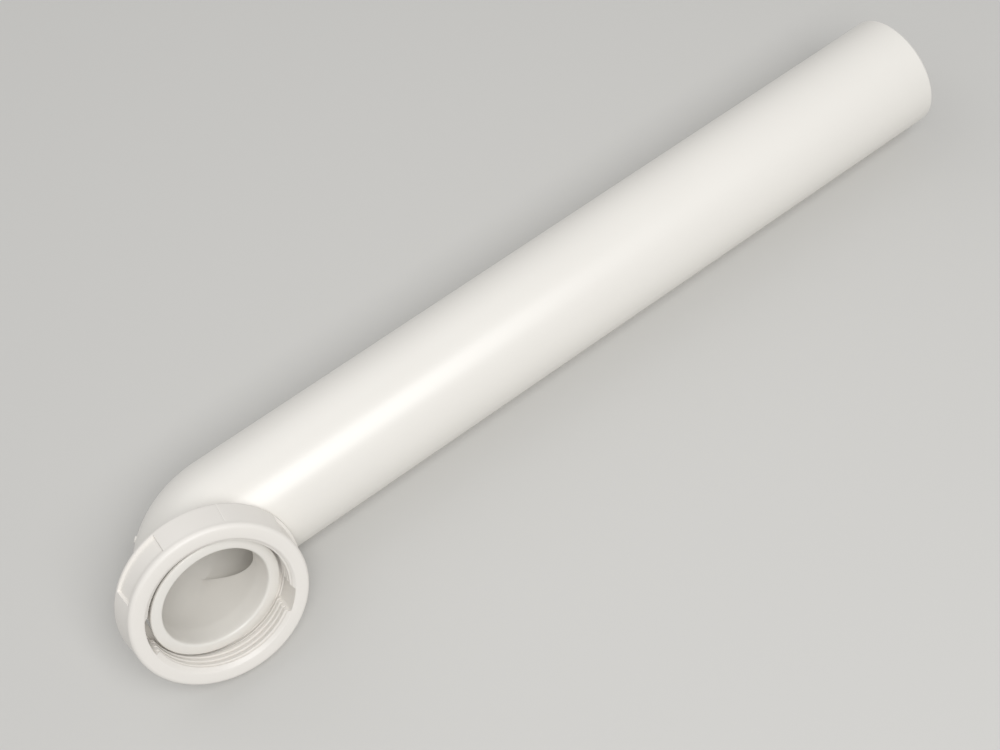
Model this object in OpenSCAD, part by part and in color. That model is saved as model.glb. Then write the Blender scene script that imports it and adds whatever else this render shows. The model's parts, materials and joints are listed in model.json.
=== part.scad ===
// Drain bend for a basin or sink waste: a long plain leg, a tight quarter bend and a
// short flanged leg that carries a loose coupling nut. It lies as it comes to rest on a
// flat surface, on the underside of the long leg and on one lug of the nut.
// Row frame: X runs along the long leg and out of its plain end, Z is up, and the
// origin is the centre of the plain end's face.

/* [Pipe] */
// Outside diameter of the pipe
pipe_d = 43; // [34:0.5:54]
// Wall of the pipe
pipe_wall = 2.9; // [2:0.1:4]
// Long leg, from the corner where the two axes cross to its plain end
long_leg = 317; // [150:1:600]
// Angle that the bend turns through, in degrees
turn = 92.5; // [88:0.5:95]
// Radius of the throat, on the outside of the pipe
throat_r = 0.5; // [0.4:0.1:0.8]
// Chamfer round the outside of the plain end
end_chamfer = 0.8; // [0.3:0.1:1.5]

/* [Flange] */
// Thickness of the lip that the nut pulls on
lip_t = 1.4; // [1:0.1:3]
// How far the lip reaches past the hole in the nut's collar, on each side
lip_hold = 0.25; // [0.1:0.05:0.6]

/* [Nut] */
// Length of the nut along its axis
nut_l = 12; // [10:0.1:20]
// Thickness of the collar that bears on the lip
collar_t = 1; // [0.8:0.1:2.5]
// Wall of the nut behind the thread
nut_wall = 4.5; // [3:0.1:8]
// Thickness of the wide front rim
rim_t = 2.4; // [2.1:0.1:4]
// Depth of the finger recesses behind the rim
recess_h = 1; // [0.5:0.1:2]
// How much wider the nut is at its back than at its rim, on each side
flare_h = 1.2; // [0.5:0.1:3]
// Number of finger recesses, with a wide lug between each two
lug_count = 3; // [2:1:6]
// Part of the circle that each recess takes, in degrees
lug_gap = 40; // [20:1:50]
// Thickness of the flange that is left behind the recesses
flange_t = 1.3; // [0.8:0.1:3]
// Direction of one lug's middle round the nut, in degrees
lug_turn = 60; // [0:1:119]
// Round on the outer edge of the front rim
rim_round = 1.5; // [0.5:0.1:1.9]

/* [Thread] */
// Length of the relief between the thread and the collar
relief_l = 1.7; // [1.6:0.1:3]
// Depth of the thread, from crest to root
thread_h = 0.9; // [0.5:0.05:1.5]
// Length of the flared mouth in front of the thread
mouth_l = 1.4; // [0.8:0.1:3]
// How much wider than the thread's root the mouth is, on each side
mouth_h = 0.5; // [0.3:0.05:1.5]
// Number of gaps in the thread
slot_count = 3; // [2:1:4]
// Part of the circle that each gap takes, in degrees
slot_span = 20; // [10:1:25]
// Direction of one gap's middle round the nut, in degrees
slot_turn = 85; // [0:1:120]
// How much deeper than the thread's root the gaps are
slot_h = 0.7; // [0.2:0.05:1.2]

/* [Loose fit] */
// How far the loose nut leans on its leg, in degrees
lean = 9; // [0:0.1:11]
// Direction in which it leans, in degrees round the leg from the long leg's side
lean_to = 114; // [90:1:120]
// Least gap between the nut and the bend
run_gap = 0.2; // [0.1:0.05:0.5]

/* [Gate mark] */
// Diameter of the moulding gate's stub on the back of the bend
gate_d = 2.4; // [1:0.1:4]
// Height of the stub
gate_h = 0.5; // [0.2:0.1:1.5]

/* [Hidden] */
$fn = 96;

// How far a cutting tool runs past the face that it opens
past = 1;
// The short leg stands out from the bend by this much and laps over it by this length,
// so that the two meet in one clean ring
leg_step = 0.05;
leg_lap = 0.2;
// Step of the angle along the rim's round
round_step = 15;
// Small bevel round the back of the lugs
lug_edge = 0.5;
// Length by which the rim's edge runs on behind the rim, to where a lug starts to flare
rim_edge = 0.1;

pipe_r = pipe_d / 2;
bore_r = pipe_r - pipe_wall;
bend_r = pipe_r + throat_r;
leg_r = pipe_r + leg_step;

// The nut turns about its own leaning axis, which crosses the leg's axis halfway
// between the middle of its collar and the middle of the lip.
cross_arm = (lip_t + collar_t) / 4 + run_gap / 2 + leg_r * sin(lean) / 2;
hole_r = leg_r / cos(lean) + (collar_t / 2 + cross_arm) * tan(lean) + run_gap;
lip_r = hole_r + lip_hold;
crest_r = lip_r / cos(lean) + (lip_t / 2 + cross_arm) * tan(lean) + run_gap;
root_r = crest_r + thread_h;
mouth_r = root_r + mouth_h;
slot_r = root_r + slot_h;
body_r = root_r + nut_wall;
rim_r = body_r + recess_h;
lug_r = rim_r + flare_h;

// The bend's own frame has the corner at its origin, the long leg along X and the short
// leg near -Y, so that Z is square to both legs.
setback = bend_r * tan(turn / 2);
leg_dir = [sin(turn - 90), -cos(turn - 90), 0];
leg_side = [cos(turn - 90), sin(turn - 90), 0];
nut_axis = cos(lean) * leg_dir
    + sin(lean) * (cos(lean_to) * leg_side + sin(lean_to) * [0, 0, 1]);

// The nut is held between the long leg, which its back clears, and the lip, which its
// collar clears. These are distances from the corner along the nut's axis or the leg's.
back_clear = pipe_r * sqrt(1 - pow(nut_axis.x, 2))
    + max(nut_axis.x * lug_r, nut_axis.x * hole_r) + run_gap;
collar_middle = (back_clear + collar_t / 2) / cos(lean);
lip_back = (back_clear + collar_t) / cos(lean) + lip_r * tan(lean) + run_gap;
short_leg = lip_back + lip_t;
crossing = (collar_middle + lip_back + lip_t / 2) / 2;

// Along the nut's own axis from the crossing
nut_back = back_clear - crossing * cos(lean);
nut_front = nut_back + nut_l;
thread_end = nut_back + collar_t + relief_l;
slot_end = thread_end - thread_h - rim_edge;

// How far below the long leg's axis a ring of the nut reaches, when the short leg is
// tipped up by an angle: its centre's drop and its own reach.
function down(tip) = [0, sin(tip), -cos(tip)];
function drop(along, r, tip) =
    (crossing * leg_dir + along * nut_axis) * down(tip)
    + r * sqrt(1 - pow(nut_axis * down(tip), 2));
function nut_drop(tip) = max(
    drop(nut_back, lug_r - lug_edge, tip),
    drop(nut_back + lug_edge, lug_r, tip)
);
// The tip at which the nut's lowest lug is level with the underside of the long leg
function rest_tip(low, high, turns) =
    turns == 0 ? (low + high) / 2
    : nut_drop((low + high) / 2) > pipe_r ? rest_tip((low + high) / 2, high, turns - 1)
    : rest_tip(low, (low + high) / 2, turns - 1);
tip = rest_tip(0, 60, 30);

// Places the bend's own frame, with the corner at its origin, in the row frame
module at_rest() {
    translate([-long_leg, 0, 0]) rotate([-tip, 0, 0]) children();
}

// Z out along the short leg from the corner
module on_short_leg() {
    rotate([0, 0, turn - 90]) rotate([90, 0, 0]) children();
}

// Z out along the nut's leaning axis from the point where it crosses the leg's axis
module on_nut_axis() {
    on_short_leg()
        translate([0, 0, crossing])
            rotate([0, 0, lean_to])
                rotate([0, lean, 0])
                    rotate([0, 0, -lean_to])
                        children();
}

// Round bar along a leg, from one distance to another from the corner
module long_bar(r, from, to) {
    translate([from, 0, 0]) rotate([0, 90, 0]) cylinder(h = to - from, r = r);
}

module short_bar(r, from, to) {
    on_short_leg() translate([0, 0, from]) cylinder(h = to - from, r = r);
}

// Origin on the line that the bend turns about
module at_bend_centre() {
    translate([setback, -bend_r, 0]) children();
}

// Solid form of both legs and the bend between them, for the outside and for the bore
module run(r, long_end, short_end) {
    long_bar(r, setback, long_end);
    short_bar(r + leg_step, setback - leg_lap, short_end);
    at_bend_centre()
        rotate([0, 0, 90])
            rotate_extrude(angle = turn)
                translate([bend_r, 0])
                    circle(r = r);
}

// Ring that takes the sharp edge off the outside of the plain end
module end_chamfer_cut() {
    translate([long_leg - end_chamfer, 0, 0]) rotate([0, 90, 0]) rotate_extrude()
        polygon([
            [pipe_r, 0],
            [pipe_r + past, 0],
            [pipe_r + past, end_chamfer + past],
            [pipe_r - end_chamfer, end_chamfer + past],
            [pipe_r - end_chamfer, end_chamfer]
        ]);
}

// Stub of the moulding gate, high on the outer side of the bend
module gate() {
    gate_turn = 53;
    gate_rise = 33;
    at_bend_centre()
        rotate([0, 0, 90 + gate_turn])
            translate([bend_r, 0, 0])
                rotate([0, 90 - gate_rise, 0])
                    translate([0, 0, pipe_r - past])
                        cylinder(h = gate_h + past, d = gate_d, $fn = 32);
}

// The pipe, moulded in one piece: both legs, the quarter bend and the lip
module bend() {
    color("#f4f1ea") at_rest() difference() {
        union() {
            run(pipe_r, long_leg, short_leg);
            short_bar(lip_r, short_leg - lip_t, short_leg);
            gate();
        }
        run(bore_r, long_leg + past, short_leg + past);
        end_chamfer_cut();
    }
}

// Half section of the nut, through a lug
function nut_section() = concat(
    [
        [hole_r, nut_back],
        [lug_r - lug_edge, nut_back],
        [lug_r, nut_back + lug_edge],
        [rim_r, nut_front - rim_t - rim_edge]
    ],
    [for (a = [0:round_step:90])
        [rim_r - rim_round * (1 - cos(a)), nut_front - rim_round * (1 - sin(a))]],
    [
        [mouth_r, nut_front],
        [crest_r, nut_front - mouth_l],
        [crest_r, thread_end],
        [root_r, thread_end - thread_h],
        [root_r, nut_back + collar_t],
        [hole_r, nut_back + collar_t]
    ]
);

// Piece of a ring, centred on an angle
module ring_piece(middle, span, inner, outer, from, to) {
    rotate([0, 0, middle - span / 2])
        rotate_extrude(angle = span)
            translate([inner, from])
                square([outer - inner, to - from]);
}

// Finger recess, whose floor flares as the lugs do and ends at the flange on the back
module recess(middle) {
    from = nut_back + flange_t;
    to = nut_front - rim_t;
    flare = flare_h / (to - rim_edge - nut_back - lug_edge);
    floor_r = lug_r - recess_h - flare * (flange_t - lug_edge);
    rotate([0, 0, middle - lug_gap / 2])
        rotate_extrude(angle = lug_gap)
            polygon([
                [floor_r, from],
                [lug_r + past, from],
                [lug_r + past, to],
                [body_r, to]
            ]);
}

// The loose nut: a front rim, wide lugs and finger recesses that flare to the back, a
// thread with gaps and a collar
module coupling_nut() {
    lug_pitch = 360 / lug_count;
    slot_pitch = 360 / slot_count;
    color("#f2ece6") at_rest() on_nut_axis() difference() {
        rotate_extrude() polygon(nut_section());
        for (i = [0:lug_count - 1])
            recess(lug_turn + (i + 0.5) * lug_pitch);
        for (i = [0:slot_count - 1])
            ring_piece(slot_turn + i * slot_pitch, slot_span,
                crest_r - past, slot_r, slot_end, nut_front + past);
    }
}

bend();
coupling_nut();
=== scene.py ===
import json
import math

import bmesh
import bpy
import numpy as np
from bpy.props import FloatProperty, PointerProperty, StringProperty
from mathutils import Matrix, Vector


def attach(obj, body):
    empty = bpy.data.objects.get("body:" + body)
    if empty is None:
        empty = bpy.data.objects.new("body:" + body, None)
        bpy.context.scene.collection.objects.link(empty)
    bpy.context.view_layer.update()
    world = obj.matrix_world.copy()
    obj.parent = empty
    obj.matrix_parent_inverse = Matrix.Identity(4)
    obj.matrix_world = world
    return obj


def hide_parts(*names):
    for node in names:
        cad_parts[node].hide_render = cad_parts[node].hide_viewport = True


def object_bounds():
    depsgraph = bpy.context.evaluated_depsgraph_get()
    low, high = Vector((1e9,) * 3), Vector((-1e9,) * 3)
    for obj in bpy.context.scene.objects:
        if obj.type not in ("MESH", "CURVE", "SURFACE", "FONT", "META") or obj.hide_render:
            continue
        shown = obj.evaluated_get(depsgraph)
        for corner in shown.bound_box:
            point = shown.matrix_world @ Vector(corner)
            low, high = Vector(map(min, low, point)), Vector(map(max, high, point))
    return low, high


bl_info = {
    "name": "Drain bend with coupling nut",
    "version": (1, 0, 0),
    "blender": (4, 5, 0),
    "location": "3D View > Sidebar > Drain bend",
    "description": "Builds a moulded waste pipe bend, its loose coupling nut and a studio stage",
    "category": "Object",
}

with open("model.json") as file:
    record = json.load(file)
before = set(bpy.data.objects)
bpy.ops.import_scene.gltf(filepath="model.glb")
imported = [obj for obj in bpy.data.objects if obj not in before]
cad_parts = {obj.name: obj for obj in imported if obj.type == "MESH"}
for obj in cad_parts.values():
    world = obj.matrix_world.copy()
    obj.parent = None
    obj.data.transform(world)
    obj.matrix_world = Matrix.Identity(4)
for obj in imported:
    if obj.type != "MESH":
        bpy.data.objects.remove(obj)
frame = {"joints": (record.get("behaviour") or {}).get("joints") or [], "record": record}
CAD_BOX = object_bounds()

MM = 0.001
MOUNTS = {mount["name"]: mount for mount in frame["record"]["mounts"]}
NUT_JOINT = frame["joints"][0]

# The axes of the two legs and of the nut, and the points where they start, in the row
# frame. The corner is where the long leg's axis (y = z = 0) meets the short leg's.
ROW_X = np.array([1.0, 0.0, 0.0])
LEG_AXIS = np.array(MOUNTS["inlet_bore"]["axis"])
LEG_FACE = np.array(MOUNTS["inlet_bore"]["pos_m"])
CORNER = LEG_FACE - LEG_AXIS * (LEG_FACE[1] / LEG_AXIS[1])
SHORT_LEG_MM = float(np.linalg.norm(LEG_FACE - CORNER)) / MM
LONG_LEG_MM = float(-CORNER[0]) / MM
TURN = math.pi / 2 + math.asin(LEG_AXIS[0])
PLANE_Y = -(LEG_AXIS - LEG_AXIS[0] * ROW_X) / math.cos(math.asin(LEG_AXIS[0]))
PLANE_Z = np.cross(ROW_X, PLANE_Y)
NUT_AXIS = np.array(NUT_JOINT["axis"])
NUT_AXIS = NUT_AXIS / np.linalg.norm(NUT_AXIS)
NUT_CENTRE = np.array(NUT_JOINT["pos_m"])
NUT_U = ROW_X - ROW_X.dot(NUT_AXIS) * NUT_AXIS
NUT_U = NUT_U / np.linalg.norm(NUT_U)
NUT_V = np.cross(NUT_AXIS, NUT_U)

# The camera that took the photograph, fitted to the pipe's and the nut's outlines, in
# the row frame: its place, and its right and down directions.
CAMERA_PLACE = (-0.314172, -0.232633, 0.463971)
CAMERA_RIGHT = (0.805556, -0.588329, -0.070343)
CAMERA_DOWN = (-0.547263, -0.693260, -0.468928)
# Focal length in pixels of a frame that is 1000 pixels wide
FOCAL_PIXELS = 1517.6
FRAME_PIXELS = 1000.0
SENSOR_MM = 36.0


# ---- sizes and colours -------------------------------------------------------------


def length(name, what, default, low=0.0):
    """A size in millimetres that a user would change."""
    return FloatProperty(name=name, description=what, default=default, min=low, precision=2)


def angle(name, what, default):
    """An angle that a user would change, given here in degrees."""
    return FloatProperty(
        name=name, description=what, default=math.radians(default), subtype="ANGLE"
    )


def hex_colour(name, what, default):
    """A colour written as an sRGB hex value, such as #F1EEE8."""
    return StringProperty(name=name, description=what, default=default)


class PipeSettings(bpy.types.PropertyGroup):
    """Sizes and colour of the moulded pipe bend."""

    outside_d: length("Outside diameter", "Outside diameter of the pipe, in mm", 43.0, 10.0)
    wall: length("Wall", "Thickness of the pipe's wall, in mm", 2.9, 0.5)
    bend_r: length("Bend radius", "Radius of the bend's centre line, in mm", 18.9, 5.0)
    lip_d: length("Lip diameter", "Outside diameter of the lip, in mm", 45.4, 10.0)
    lip_t: length("Lip thickness", "Thickness of the lip along the short leg, in mm", 1.38, 0.3)
    lip_round: length("Lip round", "Round on the lip's outer edges, in mm", 0.5, 0.05)
    bore_round: length("Bore round", "Round on the bore's edge at the lip, in mm", 0.9, 0.05)
    end_chamfer: length("End chamfer", "Chamfer outside the plain end, in mm", 0.8, 0.05)
    core_taper: length("Core taper", "Taper of the short leg's bore, in mm", 0.6, 0.0)
    gate_d: length("Gate diameter", "Diameter of the gate's stub, in mm", 2.3, 0.5)
    gate_h: length("Gate height", "Height of the gate's stub, in mm", 0.5, 0.05)
    colour: hex_colour("Pipe colour", "Colour of the moulded pipe", "#F0EDE7")


class NutSettings(bpy.types.PropertyGroup):
    """Sizes and colour of the coupling nut."""

    # Both ends are measured from the point where the nut's axis crosses the leg's
    back: length("Back", "Place of the nut's back along its axis, in mm", -2.972, -20.0)
    front: length("Front", "Place of the nut's front along its axis, in mm", 9.028)
    collar_t: length("Collar", "Thickness of the collar, in mm", 1.0, 0.2)
    hole_r: length("Hole radius", "Radius of the collar's hole, in mm", 22.48, 5.0)
    rim_r: length("Rim radius", "Radius of the front rim, in mm", 30.09, 5.0)
    rim_t: length("Rim thickness", "Thickness of the front rim, in mm", 2.4, 0.5)
    rim_round: length("Rim round", "Round on the rim's front edge, in mm", 1.5, 0.1)
    lug_r: length("Lug radius", "Radius over the lugs at the nut's back, in mm", 31.22, 5.0)
    recess_h: length("Recess depth", "Depth of the finger recesses, in mm", 1.0, 0.1)
    flange_t: length("Back flange", "Thickness of the flange behind the recesses, in mm", 1.3, 0.3)
    lug_gap: angle("Recess span", "Angle that a finger recess takes", 40.0)
    lug_turn: angle("Lug turn", "Direction of one lug's middle", 60.0)
    crest_r: length("Crest radius", "Radius of the thread's crests, in mm", 23.7, 5.0)
    root_r: length("Root radius", "Radius of the thread's roots, in mm", 24.6, 5.0)
    mouth_r: length("Mouth radius", "Radius of the flared mouth at the face, in mm", 25.2, 5.0)
    mouth_l: length("Mouth length", "Length of the flared mouth, in mm", 1.4, 0.2)
    relief_l: length("Relief length", "Length behind the thread, in mm", 1.7, 0.2)
    pitch: length("Thread pitch", "Distance between two turns of the thread, in mm", 2.309, 0.5)
    thread_start: angle("Thread start", "Where the thread starts at the face", 178.0)
    slot_r: length("Slot radius", "Radius of the gaps in the thread, in mm", 24.95, 5.0)
    wide_turn: angle("Wide gap", "Direction of the middle of the thread's wide gap", 167.5)
    wide_span: angle("Wide gap's span", "Angle that the wide gap takes", 34.5)
    slim_turn: angle("Slim gap", "Direction of the middle of the thread's slim gap", -36.0)
    slim_span: angle("Slim gap's span", "Angle that the slim gap takes", 22.0)
    seam_turn: angle("Seam turn", "Direction of the mould's parting line", 59.5)
    colour: hex_colour("Nut colour", "Colour of the moulded nut", "#F0ECE6")


class StageSettings(bpy.types.PropertyGroup):
    """Colours and lights of the studio stage."""

    floor: hex_colour("Floor colour", "Colour of the floor", "#CFCECB")
    key_power: FloatProperty(
        name="Key light", description="Power of the light in front", default=6.0, unit="POWER"
    )
    fill_power: FloatProperty(
        name="Fill light", description="Power of the light behind", default=1.6, unit="POWER"
    )
    sky: FloatProperty(
        name="Sky", description="Strength of the even light from all round", default=0.42
    )


# ---- helpers -------------------------------------------------------------------------


def linear(hex_value):
    """The linear colour, with an alpha of 1, of an sRGB hex value."""
    srgb = [int(hex_value[i : i + 2], 16) / 255 for i in (1, 3, 5)]
    straight = (c / 12.92 if c <= 0.04045 else ((c + 0.055) / 1.055) ** 2.4 for c in srgb)
    return tuple(straight) + (1.0,)


def add_node(tree, kind, inputs=None, links=None, **settings):
    """Adds a node: settings are its own, inputs its values, links what feeds each input."""
    node = tree.nodes.new(kind)
    for name, value in settings.items():
        setattr(node, name, value)
    for name, value in (inputs or {}).items():
        node.inputs[name].default_value = value
    for name, socket in (links or {}).items():
        tree.links.new(socket, node.inputs[name])
    return node


def surface(name, points, around=True, along=True, material=None, sharp=32.0):
    """A mesh on a grid of points (rows, columns, 3) in metres, closed where asked.

    Each grid cell becomes a face, whose corners run row then column. Points that meet,
    such as a pole's or a crease's, are merged.
    """
    rows, columns = points.shape[:2]
    i = np.arange(rows if along else rows - 1)[:, None]
    j = np.arange(columns if around else columns - 1)[None, :]
    i2, j2 = (i + 1) % rows, (j + 1) % columns
    faces = np.stack(
        [i * columns + j, i * columns + j2, i2 * columns + j2, i2 * columns + j], axis=-1
    ).reshape(-1, 4)
    mesh = bpy.data.meshes.new(name)
    mesh.vertices.add(rows * columns)
    mesh.vertices.foreach_set("co", points.reshape(-1).astype(np.float32))
    mesh.loops.add(faces.size)
    mesh.loops.foreach_set("vertex_index", faces.reshape(-1).astype(np.int32))
    mesh.polygons.add(len(faces))
    mesh.polygons.foreach_set("loop_start", np.arange(0, faces.size, 4, dtype=np.int32))
    mesh.update(calc_edges=True)
    finish_mesh(mesh, sharp)
    obj = bpy.data.objects.new(name, mesh)
    bpy.context.scene.collection.objects.link(obj)
    if material:
        mesh.materials.append(material)
    return obj


def finish_mesh(mesh, sharp):
    """Merges points that meet, turns the faces outwards and shades them smooth."""
    work = bmesh.new()
    work.from_mesh(mesh)
    bmesh.ops.remove_doubles(work, verts=work.verts, dist=2e-6)
    bmesh.ops.dissolve_degenerate(work, edges=work.edges, dist=1e-7)
    bmesh.ops.recalc_face_normals(work, faces=work.faces)
    work.to_mesh(mesh)
    work.free()
    mesh.shade_smooth()
    mesh.set_sharp_from_angle(angle=math.radians(sharp))


# ---- materials -----------------------------------------------------------------------

# The range of the cloud noise that is used, how dark its low end is beside the colour,
# and how far it moves the roughness
CLOUD_LOW, CLOUD_HIGH = 0.3, 0.7
CLOUD_SHADE = 0.988
CLOUD_GLOSS = 0.015


def moulded_plastic(name, hex_value, roughness, cloud_mm, grain_mm, grain):
    """Rigid vinyl or polypropylene, injection moulded against a polished steel mould.

    It is white right through with a little titanium dioxide warmth, has a soft gloss
    that copies the mould, and shows slow flow clouds a few centimetres across and a
    very shallow ripple, which breaks up the edges of its highlights.
    """
    material = bpy.data.materials.new(name)
    material.use_nodes = True
    tree = material.node_tree
    tree.nodes.clear()
    place = add_node(tree, "ShaderNodeTexCoord")
    cloud = add_node(
        tree,
        "ShaderNodeTexNoise",
        {"Scale": 1 / (cloud_mm * MM), "Detail": 2.0, "Roughness": 0.5},
        {"Vector": place.outputs["Object"]},
    )
    base = linear(hex_value)
    ramp = add_node(tree, "ShaderNodeValToRGB", None, {"Fac": cloud.outputs["Fac"]})
    ramp.color_ramp.elements[0].position = CLOUD_LOW
    ramp.color_ramp.elements[0].color = tuple(c * CLOUD_SHADE for c in base[:3]) + (1.0,)
    ramp.color_ramp.elements[1].position = CLOUD_HIGH
    ramp.color_ramp.elements[1].color = base
    gloss = add_node(
        tree,
        "ShaderNodeMapRange",
        {
            "From Min": CLOUD_LOW,
            "From Max": CLOUD_HIGH,
            "To Min": roughness - CLOUD_GLOSS,
            "To Max": roughness + CLOUD_GLOSS,
        },
        {"Value": cloud.outputs["Fac"]},
    )
    ripple = add_node(
        tree,
        "ShaderNodeTexNoise",
        {"Scale": 1 / (grain_mm * MM), "Detail": 3.0, "Roughness": 0.55},
        {"Vector": place.outputs["Object"]},
    )
    bump = add_node(
        tree,
        "ShaderNodeBump",
        {"Strength": grain, "Distance": 0.1 * MM},
        {"Height": ripple.outputs["Fac"]},
    )
    shader = add_node(
        tree,
        "ShaderNodeBsdfPrincipled",
        {"IOR": 1.53, "Specular IOR Level": 0.5},
        {
            "Base Color": ramp.outputs["Color"],
            "Roughness": gloss.outputs["Result"],
            "Normal": bump.outputs["Normal"],
        },
    )
    add_node(tree, "ShaderNodeOutputMaterial", None, {"Surface": shader.outputs["BSDF"]})
    return material


def floor_paper(hex_value):
    """Matt studio paper: one even pale colour with no shine."""
    material = bpy.data.materials.new("matt_studio_paper")
    material.use_nodes = True
    tree = material.node_tree
    tree.nodes.clear()
    shader = add_node(
        tree,
        "ShaderNodeBsdfPrincipled",
        {"Base Color": linear(hex_value), "Roughness": 0.9, "Specular IOR Level": 0.2},
    )
    add_node(tree, "ShaderNodeOutputMaterial", None, {"Surface": shader.outputs["BSDF"]})
    return material


# ---- the pipe ------------------------------------------------------------------------

# Points round a ring, rings along half of the bend, and rings along the long leg
AROUND = 160
BEND_RINGS = 34
LEG_RINGS = 60
# Radius that the bore turns with at its crease, in mm
CREASE_R = 0.4


def place(x, y, height):
    """Points in the row frame, from distances in mm along and across the long leg."""
    return (
        CORNER
        + x[..., None] * MM * ROW_X
        + y[..., None] * MM * PLANE_Y
        + height[..., None] * MM * PLANE_Z
    )


def half_run(path, radius, bend_r, reach):
    """Rings along the long leg's half of the pipe, as in-plane x and y and the height.

    The path goes from 0 at a distance (the reach) from the corner to 1 on the plane
    halfway between the legs. A point of a ring has a radial distance from the line that
    the bend turns about: the bend's radius plus the ring's radius times the cosine of
    its own angle. Where that is positive the point runs straight and then turns about
    the line. Where it is negative the legs meet in a crease: the point runs straight
    until it meets the halfway plane.
    """
    around = np.linspace(0, 2 * math.pi, AROUND, endpoint=False)[None, :]
    radial = bend_r + radius * np.cos(around)
    half = math.tan(TURN / 2)
    turning = np.maximum(radial, 0)
    straight = reach - bend_r * half - np.maximum(-radial, 0) * half
    gone = path * (straight + turning * TURN / 2)
    left = np.maximum(straight - gone, 0)
    angle = np.maximum(gone - straight, 0) / np.maximum(turning, 1e-6)
    along = np.where(radial < 0, left - radial * half, left)
    angle = np.where(radial < 0, 0.0, angle)
    x = bend_r * half + along - radial * np.sin(angle)
    y = -bend_r + radial * np.cos(angle)
    return x, y, radius * np.sin(around) + 0 * x


def mirrored(x, y, height):
    """The same points on the short leg's half, across the halfway plane."""
    split = np.array([1 + math.sin(TURN - math.pi / 2), -math.cos(TURN - math.pi / 2)])
    split = split / np.linalg.norm(split)
    across = x * split[0] + y * split[1]
    return 2 * across * split[0] - x, 2 * across * split[1] - y, height


def pipe_skin(pipe):
    """The pipe's closed skin, as rings (rings, AROUND, 3) in metres.

    It runs from the plain end's chamfer along the outside to the lip, over the lip's
    face, and back through the bore to the plain end. Outside, the bend has one radius.
    The bore is where two straight mould cores met: it is round on the outer side of the
    bend, and a crease on the inner side. The short leg's core tapers a little towards
    the crease, which leaves a small ledge there.
    """
    outer = pipe.outside_d / 2
    bore = outer - pipe.wall
    lip = pipe.lip_d / 2
    reach = pipe.bend_r * math.tan(TURN / 2) + 0.5
    lip_back = SHORT_LEG_MM - pipe.lip_t
    around = np.linspace(0, 2 * math.pi, AROUND, endpoint=False)[None, :]
    column = np.ones_like(around)

    def straight(distance, radius):
        distance, radius = np.broadcast_arrays(
            np.atleast_1d(distance).astype(float), np.atleast_1d(radius).astype(float)
        )
        radius = radius[:, None] * column
        x = distance[:, None] * column
        return x, radius * np.cos(around), radius * np.sin(around)

    path = np.linspace(0, 1, BEND_RINGS)[:, None]
    end, chamfer = LONG_LEG_MM, pipe.end_chamfer
    stations = np.linspace(end - 2, reach + 1.5, LEG_RINGS)
    outside = half_run(path, outer * column, pipe.bend_r, reach)
    # How much of the bore's outer side a column is on, and its own bend radius
    outer_side = np.sqrt(np.maximum(np.cos(around), 0))
    bore_bend = CREASE_R + (pipe.bend_r - CREASE_R) * outer_side
    fade = soft_step(outer_side, 0.45, 0.9)
    short_bore = bore - pipe.core_taper
    middle = (bore + short_bore) / 2
    long_half = half_run(path, bore + (middle - bore) * fade * path, bore_bend, reach)
    short_half = half_run(path, short_bore + (middle - short_bore) * fade * path, bore_bend, reach)
    round_r, edge = pipe.lip_round, pipe.bore_round
    arc = np.linspace(0, math.pi / 2, 5)
    rise, fall = 1 - np.cos(arc), 1 - np.sin(arc)
    face = SHORT_LEG_MM
    bore_run = np.linspace(face - edge - 0.5, reach, 8)
    taper = short_bore + (bore - short_bore) * (bore_run - reach) / (face - reach)
    pieces = [
        straight(end, outer - chamfer),
        straight(end - chamfer, outer),
        straight(stations, outer),
        outside,
        [part[-2::-1] for part in mirrored(*outside)],
        mirrored(*straight(np.linspace(reach + 0.5, lip_back - 0.15, 10), outer)),
        mirrored(*straight(lip_back, outer + 0.12)),
        mirrored(*straight(lip_back + round_r * rise, lip - round_r * fall)),
        mirrored(*straight(face - round_r * fall, lip - round_r * rise)),
        mirrored(*straight(face - edge * rise, bore + edge * fall)),
        mirrored(*straight(bore_run, taper)),
        mirrored(*short_half),
        [part[::-1] for part in long_half],
        straight(stations[::-1], bore),
        straight(end - 0.35, bore),
        straight(end, bore + 0.25),
    ]
    x, y, height = (np.concatenate([piece[i] for piece in pieces]) for i in range(3))
    return place(x, y, height)


class DRAINBEND_OT_pipe(bpy.types.Operator):
    """Build the moulded pipe: long leg, quarter bend, short leg and lip"""

    bl_idname = "drainbend.pipe"
    bl_label = "Moulded pipe"

    def execute(self, context):
        pipe = context.scene.drain_pipe
        material = moulded_plastic("moulded_upvc_white", pipe.colour, 0.3, 34.0, 5.0, 0.05)
        obj = surface("pipe_bend", pipe_skin(pipe), material=material)
        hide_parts("bend")
        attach(obj, "bend")
        return {"FINISHED"}


# Where the gate is: how far round the bend, and how high on its side
GATE_TURN = math.radians(53)
GATE_RISE = math.radians(33)


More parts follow.
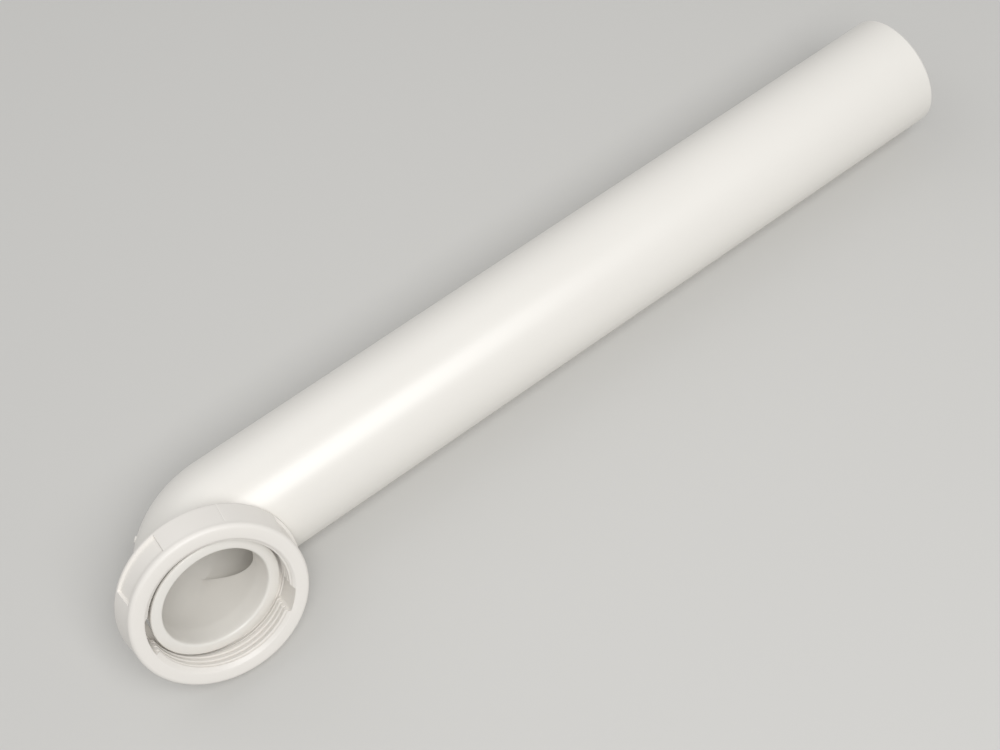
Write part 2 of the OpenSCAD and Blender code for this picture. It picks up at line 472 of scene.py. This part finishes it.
class DRAINBEND_OT_gate(bpy.types.Operator):
    """Build the stub that the moulding gate left on the back of the bend"""

    bl_idname = "drainbend.gate"
    bl_label = "Gate mark"

    def execute(self, context):
        pipe = context.scene.drain_pipe
        # A low button: a round wall with a softly rounded, slightly torn top, turned
        # about the bend's outward direction at that place.
        outward = (
            math.cos(GATE_RISE) * (-math.sin(GATE_TURN) * ROW_X + math.cos(GATE_TURN) * PLANE_Y)
            + math.sin(GATE_RISE) * PLANE_Z
        )
        side = np.cross(outward, PLANE_Z)
        side = side / np.linalg.norm(side)
        other = np.cross(outward, side)
        setback = pipe.bend_r * math.tan(TURN / 2)
        ring_x = setback - pipe.bend_r * math.sin(GATE_TURN)
        ring_y = -pipe.bend_r + pipe.bend_r * math.cos(GATE_TURN)
        centre = CORNER + ring_x * MM * ROW_X + ring_y * MM * PLANE_Y
        r, h, base = pipe.gate_d / 2, pipe.gate_h, pipe.outside_d / 2
        profile_r = np.array([0.0, 0.75, 1.0, 1.0, 0.93, 0.8, 0.55, 0.3, 0.0]) * r
        profile_h = base + np.array([-0.8, -0.8, -0.5, 0.7 * h, 0.9 * h, h, h, 0.86 * h, 0.82 * h])
        around = np.linspace(0, 2 * math.pi, 48, endpoint=False)
        spread = np.cos(around)[:, None] * side + np.sin(around)[:, None] * other
        points = centre + (
            profile_h[:, None, None] * outward + profile_r[:, None, None] * spread[None]
        ) * MM
        material = bpy.data.materials["moulded_upvc_white"]
        obj = surface("gate_mark", points, along=False, material=material, sharp=50.0)
        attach(obj, "bend")
        return {"FINISHED"}


# ---- the nut -------------------------------------------------------------------------

# Lengths in mm: the bevel round the back, the small round on the hole's two edges and
# the depth of the parting line
BACK_BEVEL = 0.5
HOLE_ROUND = 0.25
SEAM_DEPTH = 0.13
# Angles over which a thread gap's and a recess's end walls slope, and the line's width
GAP_SLOPE = math.radians(3.0)
RECESS_SLOPE = math.radians(0.8)
SEAM_WIDTH = math.radians(0.32)
# Even steps round the nut, and rows down its threaded wall
NUT_AROUND = 260
THREAD_ROWS = 170


def soft_step(value, edge, width):
    """0 below the edge and 1 above it, turning over smoothly across a width."""
    t = np.clip((value - edge) / width + 0.5, 0, 1)
    return t * t * (3 - 2 * t)


def off_by(angle, middle, repeat):
    """How far an angle is from the nearest of a set of middles that repeat."""
    return np.abs((angle - middle + repeat / 2) % repeat - repeat / 2)


def nut_angles(nut):
    """Angles round the nut: even steps, with close ones at each wall and at the seam."""
    third = 2 * math.pi / 3
    thirds = np.arange(3) * third
    half_lug = (third - nut.lug_gap) / 2
    walls = np.concatenate(
        [
            nut.lug_turn + thirds + half_lug,
            nut.lug_turn + thirds - half_lug,
            nut.wide_turn + np.array([-0.5, 0.5]) * nut.wide_span,
            nut.slim_turn + np.array([-0.5, 0.5]) * nut.slim_span,
            [nut.seam_turn, nut.seam_turn + math.pi],
        ]
    )
    close = np.radians([-1.6, -1.1, -0.7, -0.4, -0.15, 0.15, 0.4, 0.7, 1.1, 1.6])
    even = np.linspace(0, 2 * math.pi, NUT_AROUND, endpoint=False)
    angles = np.concatenate([even, ((walls[:, None] + close) % (2 * math.pi)).ravel()])
    angles = np.unique(np.round(angles, 6))
    return angles[np.append(np.diff(angles) > 4e-4, True)]


def thread_radius(nut, along, angle):
    """The inner wall behind the mouth, as a radius.

    The thread is a helix: its phase is the distance along the axis over the pitch, less
    the turn. The wall goes from the crest's radius to the root's with that phase, with
    a broad crest and a narrow root. The mouth's cone, the gaps in the thread and the relief behind
    it take away from it, so the largest radius wins.
    """
    end = nut.back + nut.collar_t + nut.relief_l
    phase = (along - nut.front) / nut.pitch - (angle - nut.thread_start) / (2 * math.pi)
    wave = soft_step(np.cos(2 * math.pi * phase), 0.45, 1.1)
    radius = nut.crest_r + (nut.root_r - nut.crest_r) * wave
    relief = soft_step(-along, -end, 0.9)
    radius = radius + (nut.root_r - radius) * relief
    mouth = nut.mouth_r - (nut.mouth_r - nut.crest_r) * np.clip(
        (nut.front - along) / nut.mouth_l, 0, 3
    )
    radius = np.maximum(radius, mouth)
    gap = 0
    for middle, span in ((nut.wide_turn, nut.wide_span), (nut.slim_turn, nut.slim_span)):
        away = off_by(angle, middle, 2 * math.pi)
        gap = np.maximum(gap, soft_step(-away, -span / 2, GAP_SLOPE))
    gap = gap * soft_step(along, end - 0.9, 0.5)
    return np.maximum(radius, nut.crest_r + (nut.slot_r - nut.crest_r) * gap)


def nut_points(nut):
    """The nut's closed skin, as rows of (radius, distance along the axis) round it.

    Outside, a row's radius and distance are mixed between a recess's and a lug's by how
    far round it is. Inside, the rows step down the threaded wall.
    """
    angle = nut_angles(nut)[None, :]
    third = 2 * math.pi / 3
    away = off_by(angle, nut.lug_turn, third)
    lug = soft_step(-away, -(third - nut.lug_gap) / 2, RECESS_SLOPE)
    seam = np.exp(-((off_by(angle, nut.seam_turn, math.pi) / SEAM_WIDTH) ** 2))
    rim_back = nut.front - nut.rim_t
    arc = np.linspace(0, math.pi / 2, 7)
    # Outside rows, as (recess radius, recess distance, lug radius, lug distance). The
    # lugs flare evenly from the rim to the back, and the recesses' floors with them.
    flare_from = nut.back + BACK_BEVEL
    flare_slope = (nut.lug_r - nut.rim_r) / (rim_back - flare_from)
    flange = nut.back + nut.flange_t

    def flare(z):
        return nut.lug_r - flare_slope * (z - flare_from)

    def row(depth, z):
        return (flare(z) - depth, z, flare(z), z)

    outside = [(r, z, r, z) for r, z in (
        (nut.hole_r + HOLE_ROUND, nut.back),
        (nut.lug_r - BACK_BEVEL, nut.back),
        (nut.lug_r - 0.12, nut.back + 0.14),
    )]
    outside += [row(0.0, flare_from), row(0.0, flange - 0.2), row(0.06, flange - 0.06)]
    outside += [row(nut.recess_h - 0.3, flange + 0.02), row(nut.recess_h - 0.08, flange + 0.1)]
    outside += [row(nut.recess_h, z) for z in np.linspace(flange + 0.35, rim_back - 0.3, 12)]
    outside += [
        row(nut.recess_h - 0.08, rim_back - 0.09),
        row(nut.recess_h - 0.3, rim_back - 0.02),
        (nut.rim_r - 0.12, rim_back, nut.rim_r, rim_back + 0.02),
        (nut.rim_r, rim_back + 0.12, nut.rim_r, rim_back + 0.12),
    ]
    for a in arc:
        r = nut.rim_r - nut.rim_round * (1 - math.cos(a))
        z = nut.front - nut.rim_round * (1 - math.sin(a))
        outside.append((r, z, r, z))
    outside.append((nut.mouth_r + 0.3, nut.front, nut.mouth_r + 0.3, nut.front))
    rows = np.array(outside)[:, :, None]
    radius = rows[:, 0] + (rows[:, 2] - rows[:, 0]) * lug
    along = rows[:, 1] + (rows[:, 3] - rows[:, 1]) * lug
    seam_rows = np.zeros((len(outside), 1))
    seam_rows[3:-9] = SEAM_DEPTH
    radius = radius - seam_rows * seam
    # Inside rows, from the mouth to the collar
    collar = nut.back + nut.collar_t
    depth = np.linspace(nut.front - 0.12, collar + 0.1, THREAD_ROWS)[:, None]
    inner_along = depth + 0 * angle
    inner = thread_radius(nut, inner_along, angle)
    close = np.array(
        [
            (nut.root_r - 0.1, collar),
            (nut.hole_r + 0.15, collar),
            (nut.hole_r, collar - 0.15),
            (nut.hole_r, nut.back + HOLE_ROUND),
        ]
    )[:, :, None]
    radius = np.concatenate([radius, inner, close[:, 0] + 0 * angle])
    along = np.concatenate([along, inner_along, close[:, 1] + 0 * angle])
    direction = np.cos(angle)[..., None] * NUT_U + np.sin(angle)[..., None] * NUT_V
    return NUT_CENTRE + (radius[..., None] * direction + along[..., None] * NUT_AXIS) * MM


class DRAINBEND_OT_nut(bpy.types.Operator):
    """Build the loose coupling nut with its lugs, collar and gapped thread"""

    bl_idname = "drainbend.nut"
    bl_label = "Coupling nut"

    def execute(self, context):
        nut = context.scene.drain_nut
        material = moulded_plastic("moulded_polypropylene_white", nut.colour, 0.4, 60.0, 2.5, 0.08)
        obj = surface("nut", nut_points(nut), material=material, sharp=38.0)
        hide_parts("coupling_nut")
        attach(obj, "coupling_nut")
        return {"FINISHED"}


# ---- the stage -----------------------------------------------------------------------

# The floor lies this far below the CAD's box, so that no rounder skin comes through it
FLOOR_DROP_MM = 0.03
# Half the floor's side, and each lamp's size, place and the point that both face, in metres
FLOOR_REACH = 6.0
KEY_SIZE, KEY_PLACE = 0.6, (-0.24, -0.5, 0.87)
FILL_SIZE, FILL_PLACE = 0.9, (-0.4, 0.6, 0.8)
LAMPS_AIM = (-0.2, -0.02, 0.0)


def area_light(name, power, size, place, aim):
    """A square lamp of a size in metres, at a place, that faces a point."""
    lamp = bpy.data.lights.new(name, "AREA")
    lamp.energy = power
    lamp.shape = "SQUARE"
    lamp.size = size
    obj = bpy.data.objects.new(name, lamp)
    obj.location = place
    obj.rotation_euler = (Vector(aim) - Vector(place)).to_track_quat("-Z", "Y").to_euler()
    bpy.context.scene.collection.objects.link(obj)
    return obj


class DRAINBEND_OT_stage(bpy.types.Operator):
    """Lay the pale floor, hang the soft lights and set up the camera"""

    bl_idname = "drainbend.stage"
    bl_label = "Stage"

    def execute(self, context):
        stage = context.scene.drain_stage
        scene = context.scene
        floor_z = CAD_BOX[0][2] - FLOOR_DROP_MM * MM
        ends = (-FLOOR_REACH, FLOOR_REACH)
        corners = np.array([[[x, y, floor_z] for x in ends] for y in ends])
        floor = surface(
            "floor", corners, around=False, along=False, material=floor_paper(stage.floor)
        )
        area_light("key", stage.key_power, KEY_SIZE, KEY_PLACE, LAMPS_AIM)
        area_light("fill", stage.fill_power, FILL_SIZE, FILL_PLACE, LAMPS_AIM)
        world = bpy.data.worlds.new("soft_sky")
        world.use_nodes = True
        tree = world.node_tree
        tree.nodes.clear()
        sky = add_node(
            tree, "ShaderNodeBackground", {"Color": (1, 1, 1, 1), "Strength": stage.sky}
        )
        add_node(tree, "ShaderNodeOutputWorld", None, {"Surface": sky.outputs["Background"]})
        scene.world = world
        lens = bpy.data.cameras.new("camera")
        lens.sensor_width = SENSOR_MM
        lens.lens = FOCAL_PIXELS / FRAME_PIXELS * SENSOR_MM
        lens.clip_start = 0.01
        right = Vector(CAMERA_RIGHT).normalized()
        down = Vector(CAMERA_DOWN)
        down = (down - down.dot(right) * right).normalized()
        back = right.cross(-down)
        camera = bpy.data.objects.new("camera", lens)
        turn = Matrix((right, -down, back)).transposed().to_4x4()
        camera.matrix_world = Matrix.Translation(Vector(CAMERA_PLACE)) @ turn
        scene.collection.objects.link(camera)
        scene.camera = camera
        scene.view_settings.view_transform = "Standard"
        return {"FINISHED"}


# ---- panel and registration ----------------------------------------------------------


class DRAINBEND_PT_panel(bpy.types.Panel):
    """Sizes, colours and building steps of the drain bend"""

    bl_idname = "DRAINBEND_PT_panel"
    bl_label = "Drain bend"
    bl_space_type = "VIEW_3D"
    bl_region_type = "UI"
    bl_category = "Drain bend"

    def draw(self, context):
        groups = (
            (context.scene.drain_pipe, ("drainbend.pipe", "drainbend.gate")),
            (context.scene.drain_nut, ("drainbend.nut",)),
            (context.scene.drain_stage, ("drainbend.stage",)),
        )
        for settings, operators in groups:
            box = self.layout.box()
            for name in settings.__annotations__:
                box.prop(settings, name)
            for operator in operators:
                box.operator(operator)


CLASSES = (
    PipeSettings,
    NutSettings,
    StageSettings,
    DRAINBEND_OT_pipe,
    DRAINBEND_OT_gate,
    DRAINBEND_OT_nut,
    DRAINBEND_OT_stage,
    DRAINBEND_PT_panel,
)


def register():
    """Register the classes and hang the settings on the scene."""
    for cls in CLASSES:
        bpy.utils.register_class(cls)
    bpy.types.Scene.drain_pipe = PointerProperty(type=PipeSettings)
    bpy.types.Scene.drain_nut = PointerProperty(type=NutSettings)
    bpy.types.Scene.drain_stage = PointerProperty(type=StageSettings)


def unregister():
    """Take the settings off the scene and unregister the classes."""
    del bpy.types.Scene.drain_stage
    del bpy.types.Scene.drain_nut
    del bpy.types.Scene.drain_pipe
    for cls in reversed(CLASSES):
        bpy.utils.unregister_class(cls)


def main():
    """Build every piece and the stage."""
    register()
    bpy.ops.drainbend.pipe()
    bpy.ops.drainbend.gate()
    bpy.ops.drainbend.nut()
    bpy.ops.drainbend.stage()
    bpy.context.view_layer.update()


if __name__ == "__main__":
    main()
